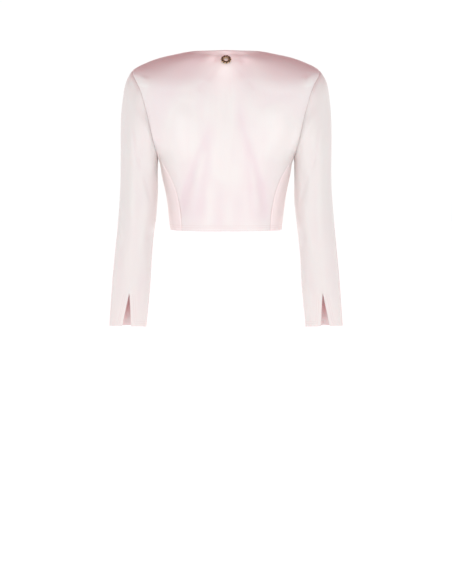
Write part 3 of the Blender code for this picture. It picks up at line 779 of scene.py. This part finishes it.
def sleeve_surface(angle, share):
    """Points of the left sleeve's outside, before the creases."""
    points = section_points(angle, sleeve_sections_at(share))
    top = section_points(angle, sleeve_sections_at(np.zeros_like(share)))
    misfit, ease = armhole_points(angle)[0] - top, 2.5
    return points + misfit * ((1 - np.clip(share / CAP_SHARE, 0, 1)) ** ease)[..., None]


def sleeve_normals(angle, share):
    """Outward unit normals of the sleeve. The armhole's own row leans on the row below it."""
    turn, step = 0.01, 0.004
    share = np.clip(share, step, 1 - step)
    round_it = sleeve_surface(angle + turn, share) - sleeve_surface(angle - turn, share)
    down_it = sleeve_surface(angle, share + step) - sleeve_surface(angle, share - step)
    return unit(np.cross(round_it, down_it))


def sleeve_length():
    """The length of the sleeve's outer line, from its top to the cuff."""
    return np.linalg.norm(np.subtract(SLEEVE_SECTIONS[0][:2], SLEEVE_SECTIONS[-1][:2]))


def sleeve_grid(columns):
    """(angle, share) at each point of the sleeve, and how many rows lie above the vent."""
    vent_top = 1 - VENT_LENGTH / sleeve_length()
    above = crowded(sleeve_length() * vent_top, *ABOVE_VENT_STEPS) * vent_top
    below = vent_top + crowded(VENT_LENGTH, *BESIDE_VENT_STEPS) * (1 - vent_top)
    shares = np.r_[above, below[1:]]
    open_share = np.clip((shares - 1) * sleeve_length() / VENT_LENGTH + 1, 0, 1)
    half_open = open_share * VENT_WIDTH / (SLEEVE_SECTIONS[-1][0] - SLEEVE_SECTIONS[-1][2])
    round_it = crowded(ROUND_SLEEVE_LENGTH, *ROUND_SLEEVE_STEPS)
    round_it = np.interp(np.linspace(0, 1, columns), np.linspace(0, 1, len(round_it)), round_it)
    start = math.radians(VENT_ANGLE) + half_open[:, None]
    angles = start + round_it * (2 * np.pi - 2 * half_open[:, None])
    return angles, np.broadcast_to(shares[:, None], angles.shape).copy(), len(above)


def sleeve_creases(angle, down):
    """How far the creases lift the sleeve, whose points are given by angle and distance down it."""
    first = -130
    degrees = (np.degrees(angle) - first) % 360 + first
    height = np.zeros(angle.shape)
    lines = [
        (tuple((math.radians(a) * SLEEVE_RADIUS, z) for a, z in line), width, lift)
        for line, width, lift in SLEEVE_CREASES
    ]
    for turn in (-360, 0):
        flat = np.stack([np.radians(degrees + turn) * SLEEVE_RADIUS, down], axis=-1)
        height += crease_height(flat, lines)
    return height


def sleeve_shell(name, left, seed):
    """A sleeve as one tube of cloth, open at both ends and along its vent, and its outer grid."""
    angle, share, closed_rows = sleeve_grid(columns=128)
    bare, normals = sleeve_surface(angle, share), sleeve_normals(angle, share)
    from_seam, from_cuff = distance_in(bare, 0, False), distance_in(bare, 0, True)
    down = SLEEVE_SECTIONS[0][1] - sleeve_sections_at(share)[1]
    height = sleeve_creases(angle, down)
    right_share, seam_calm, roll_end, roll_fade, pucker_start = 0.92, 0.03, -0.9, 1.2, 0.002
    if not left:
        height *= right_share
    height += ripple(np.sin(angle) * SLEEVE_RADIUS * 2, down, seed, SLEEVE_SWELL)
    height *= smooth_step(from_seam / seam_calm) * smooth_step(from_cuff / CUFF_CALM[0] + CUFF_CALM[1])
    # The creases' heights paint shade in the hollows and highlight on the swells.
    fold_shading = height * FOLD_UNITS
    height += soft_line(from_seam, CAP_ROLL) * smooth_step((np.cos(angle) - roll_end) / roll_fade)
    puckers = pucker(angle * SLEEVE_RADIUS, from_seam, seed + 3)
    height += puckers * smooth_step(from_seam / pucker_start)

    vent_start, vent_margin = 0.006, 0.02
    below = smooth_step((share * sleeve_length() - (sleeve_length() - VENT_LENGTH)) / vent_start)
    vent_away = from_sides(bare) + (1 - below) * vent_margin
    edge = np.minimum(from_cuff, np.where(below > 0, vent_away, FAR_AWAY))
    height += soft_line(edge, EDGE_ROLL)
    seam_angle, radian, seam_start, seam_share = 268, 57.3, 0.004, 0.7
    under = np.abs(np.degrees(angle) % 360 - seam_angle) / radian * SLEEVE_RADIUS
    under = np.where(from_seam > seam_start, under, FAR_AWAY)
    height += soft_line(under, SEAM) * seam_share
    height += pucker(down, under, seed + 5)
    outside = bare + normals * height[..., None]

    turned = np.clip((angle - angle[:, :1]) / (angle[:, -1:] - angle[:, :1]), 0, 1)
    lobe, lobe_reach = 0.0016 * np.sin(turned * np.pi * 2) ** 2, 0.03
    outside[..., 2] -= lobe * smooth_step(1 - from_cuff / lobe_reach)

    # The top row meets the trunk: it faces along the sleeve where both face alike.
    arm, arm_normals = armhole_points(angle[0])
    arm = arm + arm_normals * SEAM[0]
    against, fade = -0.3, 0.7
    alike = smooth_step((np.sum(arm_normals * normals[0], axis=-1) - against) / fade)[:, None]
    away = unit(outside[2] - arm)
    outside[0] = arm + SEAM_GAP * (alike * away + (1 - alike) * arm_normals)
    outside[1:] += soft_line(from_seam, SEAM)[1:, :, None] * arm_normals
    inward = -normals
    inward[0] = -unit(alike * arm_normals + (1 - alike) * normals[0])
    inside = outside + inward * (CLOTH_WALL + facing_height(edge))[..., None]
    cloth = np.stack([angle * SLEEVE_RADIUS, down], axis=-1)
    if not left:
        outside, inside, cloth = mirrored(outside), mirrored(inside), mirrored(cloth, False)
        from_seam, edge, fold_shading = (mirrored(grid, False) for grid in (from_seam, edge, fold_shading))
    # The sleeve's seams get a little less painted shade.
    less_seam_shade = 0.0005
    # Painted light where the trunk shuts the sleeve in.
    seam, painted_light = from_seam + less_seam_shade, enclosed(outside)
    marks = {"cloth": cloth, "seam": seam, "edge": edge, "fold_shading": fold_shading, "painted_light": painted_light}
    return wall(name, outside, inside, marks, closed_rows), outside


def rope_ring(name, strands=2, turns=5, steps=280, sides=14):
    """A ring of two round strands twisted together, lying flat."""
    points, faces, rubbed = [], [], []
    core, wire, squash = RING_WIRE * 0.58, RING_WIRE * 0.47, 0.85
    along = np.linspace(0, 2 * np.pi, steps, endpoint=False)
    round_it = np.linspace(0, 2 * np.pi, sides, endpoint=False)[None, :, None]
    radial = np.stack([np.cos(along), np.sin(along), np.zeros(steps)], axis=-1)
    for strand in range(strands):
        twist = along * turns + strand * 2 * np.pi / strands
        centre = radial * (RING_RADIUS + core * np.cos(twist))[:, None]
        centre[:, 2] = core * np.sin(twist) * RING_FLATNESS
        forward = unit(np.roll(centre, -1, axis=0) - np.roll(centre, 1, axis=0))
        sideways = unit(np.cross(forward, radial))
        outward = np.cross(sideways, forward)
        bend = np.cos(round_it) * outward[:, None] + np.sin(round_it) * sideways[:, None]
        tube = centre[:, None] + wire * bend
        from_core = np.hypot(np.hypot(tube[..., 0], tube[..., 1]) - RING_RADIUS, tube[..., 2])
        rubbed += (from_core / (core + wire)).ravel().tolist()
        tube *= (1.0, RING_OVAL, squash)
        numbers = np.arange(steps * sides).reshape(steps, sides) + len(points)
        after, beside = np.roll(numbers, -1, axis=0), np.roll(numbers, -1, axis=1)
        quads = np.stack([numbers, after, np.roll(after, -1, axis=1), beside], axis=-1)
        faces += quads.reshape(-1, 4).tolist()
        points += tube.reshape(-1, 3).tolist()
    mesh = bpy.data.meshes.new(name)
    mesh.from_pydata(points, [], faces)
    turn_outwards(mesh, np.array(points), np.array(faces))
    mesh.attributes.new("rubbed", "FLOAT", "POINT").data.foreach_set("value", np.array(rubbed, np.float32))
    mesh.shade_smooth()
    return mesh


def seat_ring(piece):
    """Lays the ring on the cloth of the centre back, facing outwards."""
    place = np.array(0.0), np.array(RING_Z)
    outward = normals_of(torso, *place)
    sunk, mound_share = 0.0002, 0.9
    lowest = RING_WIRE * (1 + RING_LOBE) * RING_FLATNESS - sunk + ring_mound(torso(*place)) * mound_share
    piece.location = torso(*place) + outward * lowest
    piece.rotation_euler = (-math.atan2(math.hypot(outward[0], outward[1]), outward[2]), 0, 0)


# Colours of the satin: its face on the trunk, the sleeves and the sides, and its reverse, each as the pink
# of the hollows and the cream of the swells, with the strength of its sheen. The pink of the hollows is
# painted shade and the cream of the swells painted highlight. The sleeves' copy is painted greyer and
# darker, as painted shade; the sides' copy is painted paler, as painted light between sleeve and trunk;
# the reverse is painted deep rose, as painted shade inside the jacket.
FACE = ((0.778, 0.700, 0.730, 1), (0.824, 0.822, 0.807, 1), 0.12)
SLEEVE_FACE = ((0.772, 0.730, 0.728, 1), (0.784, 0.776, 0.757, 1), 0.12)
SIDE_FACE = ((0.935, 0.845, 0.850, 1), (0.945, 0.885, 0.880, 1), 0.6)
REVERSE = ((0.740, 0.470, 0.490, 1), (0.790, 0.550, 0.560, 1), 0.25)
SLUB_TINT = (0.86, 0.74, 0.74, 1)
STREAK_TINT = (0.83, 0.72, 0.74, 1)
# Painted shade along the seams.
SEAM_SHADE_TINT = (0.58, 0.42, 0.42, 1)
# Painted light round the ring and where the sleeve and trunk shut the cloth in.
PAINTED_LIGHT_TINT = (1.0, 0.965, 0.950, 1)
# Painted light on the reverse near its free edges, where the facing lies.
FACING_LIGHT_TINT = (0.84, 0.76, 0.76, 1)
THREAD_TINT = (0.66, 0.50, 0.51, 1)

# Scales of the yarns along the cloth's width and length, and the bumps' strength and distance.
SLUB_SCALE = (420.0, 24.0, 1.0)
STREAK_SCALE = (70.0, 5.0, 1.0)
WEAVE_SCALE = (2600.0, 520.0, 1.0)
FACE_WEAVE = (0.10, 0.0004)
REVERSE_WEAVE = (0.22, 0.0004)
SLUB_BUMP = (0.05, 0.0010)
FACE_ROUGHNESS = (0.40, 0.48)
REVERSE_ROUGHNESS = (0.62, 0.72)
FACE_FINISH = {"Metallic": 0.50, "IOR": 1.9, "Specular IOR Level": 0.5}
REVERSE_FINISH = {"Metallic": 0.0, "IOR": 1.5, "Specular IOR Level": 0.3}
SATIN_FINISH = {
    "Subsurface Weight": 0.25,
    "Subsurface Radius": (1.0, 0.45, 0.42),
    "Subsurface Scale": 0.010,
    "Sheen Roughness": 0.45,
    "Sheen Tint": (1.0, 0.90, 0.88, 1),
}

GOLD_GROOVE = (0.020, 0.009, 0.006, 1)
GOLD_TOP = (1.0, 0.720, 0.470, 1)
GOLD_GRIME = (0.20, 0.10, 0.06, 1)


def shader_of(name):
    """A new material, its node tree and its shader."""
    material = bpy.data.materials.new(name)
    material.use_nodes = True
    return material, material.node_tree, material.node_tree.nodes["Principled BSDF"]


def put(tree, socket, value):
    """Sets a socket to a number or a colour, or links another node's output into it."""
    if isinstance(value, (int, float, tuple)):
        socket.default_value = value
    else:
        tree.links.new(value, socket)


def node_of(tree, kind, values=()):
    """A new node, with values or outputs in its inputs, each by name or number."""
    node = tree.nodes.new("ShaderNode" + kind)
    for key, value in dict(values).items():
        put(tree, node.inputs[key], value)
    return node


def put_all(tree, shader, values):
    """Puts values or outputs into the shader."""
    for key, value in values.items():
        put(tree, shader.inputs[key], value)


def mark_of(tree, name):
    """One of the marks that the mesh carries at its points."""
    node = node_of(tree, "Attribute")
    node.attribute_name = name
    return node.outputs["Fac"]


def noise(tree, vector, scale, detail, rough=0.5, stretch=None):
    """A noise texture over a vector, or over the object's own frame, optionally stretched."""
    vector = vector or node_of(tree, "TexCoord").outputs["Object"]
    if stretch:
        vector = node_of(tree, "Mapping", {"Scale": stretch, "Vector": vector}).outputs["Vector"]
    values = {"Scale": scale, "Detail": detail, "Roughness": rough, "Vector": vector}
    return node_of(tree, "TexNoise", values).outputs["Fac"]


def mixed(tree, share, low, high):
    """A colour between two others, by a share from 0 to 1."""
    mix = tree.nodes.new("ShaderNodeMix")
    mix.data_type = "RGBA"
    colours = [socket for socket in mix.inputs if socket.type == "RGBA"]
    for socket, value in zip(colours, (low, high)):
        put(tree, socket, value)
    put(tree, mix.inputs["Factor"], share)
    return [socket for socket in mix.outputs if socket.type == "RGBA"][0]


def ranged(tree, value, low, high, to_low, to_high):
    """A value moved from one range to another, and kept within it."""
    values = {"From Min": low, "From Max": high, "To Min": to_low, "To Max": to_high, "Value": value}
    return node_of(tree, "MapRange", values).outputs["Result"]


def maths(tree, operation, *values, clamp=False):
    """The result of one sum over values or outputs."""
    node = node_of(tree, "Math", enumerate(values))
    node.operation = operation
    node.use_clamp = clamp
    return node.outputs["Value"]


def bumped(tree, height, strength, distance, normal=None):
    """A normal bent by a height, on top of another normal where one is given."""
    values = {"Strength": strength, "Distance": distance, "Height": height}
    if normal is not None:
        values["Normal"] = normal
    return node_of(tree, "Bump", values).outputs["Normal"]


def satin_material(name, shiny, pink, cream, sheen):
    """Satin. Its face has long floats that shine, and its reverse is dull."""
    material, tree, shader = shader_of(name)
    cloth = node_of(tree, "UVMap")
    cloth.uv_map = "UVMap"
    cloth = cloth.outputs["UV"]
    edge = mark_of(tree, "edge")
    # Painted shade and highlight: the hollows of the folds are painted pink and the swells cream, with
    # random tone over them.
    swell = ranged(tree, mark_of(tree, "fold_shading"), -1.7, 0.7, 0.0, 0.85)
    broad = ranged(tree, noise(tree, None, 9.0, 2.0), 0.30, 0.70, 0.0, 0.30)
    colour = mixed(tree, maths(tree, "ADD", swell, broad, clamp=True), pink, cream)
    slub = noise(tree, cloth, 1.0, 3.0, 0.6, SLUB_SCALE)
    streak = noise(tree, cloth, 1.0, 2.0, 0.5, STREAK_SCALE)
    # The yarn's slubs and streaks are its own tone; the seams are painted darker, as painted shade.
    tints = [
        (ranged(tree, slub, 0.3, 0.75, 0.0, 0.10), SLUB_TINT),
        (ranged(tree, streak, 0.42, 0.75, 0.0, 0.11), STREAK_TINT),
        (ranged(tree, mark_of(tree, "seam"), 0.0, 0.0014, 0.42, 0.0), SEAM_SHADE_TINT),
    ]
    # The face is painted paler round the ring and where the sleeve and trunk shut it in, as painted light.
    if shiny:
        tints.append((ranged(tree, mark_of(tree, "painted_light"), 0.0, 1.0, 0.0, 0.80), PAINTED_LIGHT_TINT))
    else:
        # The reverse is painted paler near its free edges, where the facing lies, as painted light at the
        # openings.
        tints.append((ranged(tree, edge, 0.014, FACING_WIDTH * 2, 0.85, 0.0), FACING_LIGHT_TINT))
    for _, place, width in STITCHES:
        on_line = maths(tree, "COMPARE", edge, place, width / 2)
        tints.append((ranged(tree, on_line, 0.0, 1.0, 0.0, 0.30), THREAD_TINT))
    for share, tint in tints:
        colour = mixed(tree, share, colour, tint)
    roughness = ranged(tree, slub, 0.25, 0.75, *(FACE_ROUGHNESS if shiny else REVERSE_ROUGHNESS))
    weave = noise(tree, cloth, 1.0, 2.0, 0.5, WEAVE_SCALE)
    normal = bumped(tree, weave, *(FACE_WEAVE if shiny else REVERSE_WEAVE))
    values = {"Base Color": colour, "Roughness": roughness, "Sheen Weight": sheen}
    values["Normal"] = bumped(tree, slub, *SLUB_BUMP, normal)
    put_all(tree, shader, {**values, **SATIN_FINISH, **(FACE_FINISH if shiny else REVERSE_FINISH)})
    return material


def gold_material():
    """Antique gold, dark in the grooves and bright on the rubbed tops of the strands."""
    material, tree, shader = shader_of("antique_gold")
    grime = noise(tree, None, 900.0, 4.0, 0.6)
    tops = ranged(tree, mark_of(tree, "rubbed"), 0.74, 0.97, 0.0, 1.0)
    colour = mixed(tree, tops, GOLD_GROOVE, GOLD_TOP)
    colour = mixed(tree, ranged(tree, grime, 0.45, 0.7, 0.0, 0.35), colour, GOLD_GRIME)
    roughness = ranged(tree, grime, 0.3, 0.7, 0.14, 0.34)
    put_all(tree, shader, {"Base Color": colour, "Roughness": roughness, "Metallic": 1.0})
    return material


def floor_material():
    """White paper that fades into the studio behind it."""
    material, tree, shader = shader_of("floor_paper")
    fleck = noise(tree, None, 3.0, 3.0)
    colour = mixed(tree, fleck, (0.57, 0.62, 0.61, 1), (0.59, 0.64, 0.63, 1))
    put_all(tree, shader, {"Base Color": colour, "Roughness": 0.9})
    put_all(tree, shader, {"Emission Color": (1.0, 1.0, 1.0, 1), "Emission Strength": 0.76})
    return material


# Lights, as name, place, aim, size, power and colour.
WHITE = (1.0, 1.0, 1.0)
LIGHTS = (
    ("key", (0.0, 5.4, 0.9), (0.0, 0.0, -0.25), (1.8, 4.4), 4.6, WHITE),
    ("nape", (0.0, 1.25, 2.7), (0.0, 0.05, -0.03), (0.6, 1.1), 7.5, (1.0, 0.95, 0.95)),
    ("left_side", (1.6, 3.8, -0.2), (0.0, 0.0, -0.3), (1.0, 2.4), 4.6, WHITE),
    ("right_side", (-1.6, 3.8, -0.2), (0.0, 0.0, -0.3), (1.0, 2.4), 4.6, WHITE),
)

# The studio's colours from straight down to straight up, and the ranges that make it paler to the
# sides and dimmer beyond and above the jacket: from low, to high, and what they give.
STUDIO_STOPS = (
    (0.0, (1.0, 1.0, 1.0, 1)),
    (0.67, (1.0, 1.0, 0.995, 1)),
    (0.85, (0.64, 0.35, 0.38, 1)),
    (1.0, (0.40, 0.115, 0.13, 1)),
)
STUDIO_SIDES = (0.55, 0.90, 0.0, 0.14)
STUDIO_BEYOND = (-0.20, -0.60, 0.0, 1.0)
STUDIO_ABOVE = (0.26, 0.56, 0.0, 0.36)
STUDIO_STRENGTH = 1.02
FLOOR = {"vertices": 96, "radius": 14.0, "fill_type": "NGON", "location": (0, 0, -1.42)}
CAMERA_PLACE = (0.0, 4.07, -0.10)
CAMERA_AIM = (0.0, 0.02, -0.5604)
CAMERA_LENS = 107.2
CAMERA_SENSOR = 36.0


def aimed(name, data, place, aim):
    """A light or a camera at a place, looking at its aim."""
    holder = bpy.data.objects.new(name, data)
    holder.location = place
    holder.rotation_euler = (Vector(aim) - Vector(place)).to_track_quat("-Z", "Y").to_euler()
    bpy.context.scene.collection.objects.link(holder)
    return holder


def add_lights():
    """The rectangular lights of the studio."""
    for name, place, aim, size, power, colour in LIGHTS:
        light = bpy.data.lights.new(name, "AREA")
        light.shape = "RECTANGLE"
        light.size, light.size_y = size
        light.energy = power
        light.color = colour
        aimed(name, light, place, aim)


def add_world():
    """A studio that is white all round, and dim and rosy overhead."""
    world = bpy.data.worlds.new("studio")
    world.use_nodes = True
    tree = world.node_tree
    direction = node_of(tree, "TexCoord").outputs["Generated"]
    split = node_of(tree, "SeparateXYZ", {"Vector": direction}).outputs
    ramp = tree.nodes.new("ShaderNodeValToRGB")
    ramp.color_ramp.interpolation = "EASE"
    stops = ramp.color_ramp.elements
    for stop, (position, colour) in zip(stops, (STUDIO_STOPS[0], STUDIO_STOPS[-1])):
        stop.position = position
        stop.color = colour
    for position, colour in STUDIO_STOPS[1:-1]:
        stops.new(position).color = colour
    up = maths(tree, "MULTIPLY_ADD", split["Z"], 0.5, 0.5)
    sides = ranged(tree, maths(tree, "ABSOLUTE", split["X"]), *STUDIO_SIDES)
    beyond = ranged(tree, split["Y"], *STUDIO_BEYOND)
    above = ranged(tree, split["Z"], *STUDIO_ABOVE)
    paler = maths(tree, "SUBTRACT", up, sides)
    put(tree, ramp.inputs["Fac"], maths(tree, "MULTIPLY_ADD", beyond, above, paler))
    background = tree.nodes["Background"]
    put(tree, background.inputs["Color"], ramp.outputs["Color"])
    put(tree, background.inputs["Strength"], STUDIO_STRENGTH)
    bpy.context.scene.world = world


def add_camera():
    """The camera of the photograph, behind the jacket."""
    data = bpy.data.cameras.new("camera")
    data.sensor_width = CAMERA_SENSOR
    data.lens = CAMERA_LENS
    bpy.context.scene.camera = aimed("camera", data, CAMERA_PLACE, CAMERA_AIM)


def back_shell():
    """The back's cloth. Its top edge is a free neck edge in the middle and a seam on both sides."""
    places, columns, neck_share = back_places()
    neck_part = np.r_[columns[:0:-1], columns] <= neck_share

    def seams(points):
        return np.minimum(from_sides(points), distance_in(points, 0, True) + neck_part * FAR_AWAY)

    def edges(points):
        neck = distance_in(points, 0, True) + ~neck_part * FAR_AWAY
        return np.minimum(distance_in(points, 0, False), neck)

    def lift(points):
        """The neck edge stands up, but not where it meets the shoulder seams, and the ring's mound."""
        flare = soft_line(distance_in(points, 0, True), NECK_FLARE)
        flare_end, fade = 0.093, 0.022
        flare = flare * smooth_step((flare_end - np.abs(points[..., 0])) / fade)
        return flare + ring_mound(points)

    return panel_shell("back_cloth", places, seams, edges, BACK_CREASES, "both", 11, lift)


def side_shell(side, seed):
    """A side panel's cloth, free only at the hem."""
    return panel_shell(
        f"side_{side}_cloth",
        side_places(),
        lambda points: np.minimum(from_sides(points), distance_in(points, 0, True)),
        lambda points: distance_in(points, 0, False),
        (),
        side,
        seed,
    )


def front_shell(side, seed):
    """A front's cloth, free at the hem and at its open edge, which is its last column on the left."""
    outer_end = side == "right"
    return panel_shell(
        f"front_{side}_cloth",
        front_places(),
        lambda points: np.minimum(distance_in(points, 1, outer_end), distance_in(points, 0, True)),
        lambda points: np.minimum(distance_in(points, 1, not outer_end), distance_in(points, 0, False)),
        FRONT_CREASES,
        side,
        seed,
    )


def main():
    face = satin_material("satin_face", True, *FACE)
    sleeve_face = satin_material("satin_sleeve_face", True, *SLEEVE_FACE)
    side_face = satin_material("satin_side_face", True, *SIDE_FACE)
    reverse = satin_material("satin_reverse", False, *REVERSE)
    gold = gold_material()

    shells = [("back", face, back_shell())]
    for side, seed in (("left", 21), ("right", 41)):
        shells.append((f"side_{side}", side_face, side_shell(side, seed)))
        shells.append((f"front_{side}", face, front_shell(side, seed + 5)))
        sleeve = sleeve_shell(f"sleeve_{side}_cloth", side == "left", seed + 9)
        shells.append((f"sleeve_{side}", sleeve_face, sleeve))
    for node, outer, (mesh, outside) in shells:
        piece = add_piece(mesh.name, mesh, (outer, reverse), (node,))
        width, length, area = sheet_sizes(outside)

    ring = add_piece("neck_ring_rope", rope_ring("neck_ring_rope"), (gold,), ("neck_ring",))
    seat_ring(ring)

    bpy.ops.mesh.primitive_circle_add(**FLOOR)
    floor = bpy.context.object
    floor.name = "floor"
    floor.data.materials.append(floor_material())
    add_world()
    add_lights()
    bpy.context.scene.view_settings.view_transform = "Standard"
    add_camera()


main()
